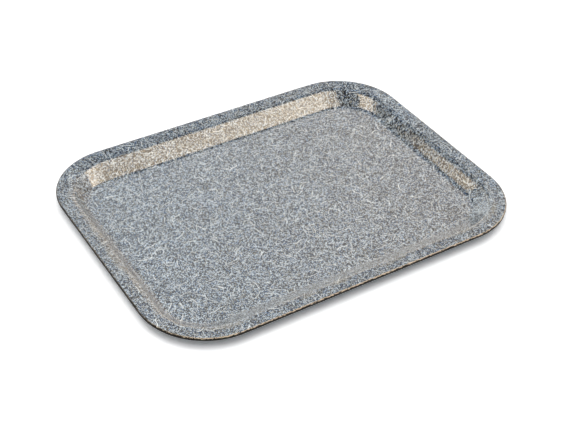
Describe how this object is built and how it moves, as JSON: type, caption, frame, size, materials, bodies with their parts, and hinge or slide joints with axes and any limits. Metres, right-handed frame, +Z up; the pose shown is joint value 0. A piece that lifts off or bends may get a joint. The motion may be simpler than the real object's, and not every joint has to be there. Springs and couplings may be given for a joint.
{
  "type": "serving tray",
  "caption": "Flat rectangular serving tray with round corners, low sloping walls and a broad rim that rises a little to its edge, moulded in one piece from fibre-filled plastic.",
  "frame": {"origin": "middle of the underside, on the surface that the tray stands on", "axes": "+X along the tray, +Y across it, +Z up, out of the hollow"},
  "size_m": [0.4572, 0.3556, 0.0203],
  "materials": {
    "laminate": "semi-gloss, pale fibres in blue-grey resin"
  },
  "bodies": {
    "root": {"tray": "laminate"}
  },
  "joints": []
}
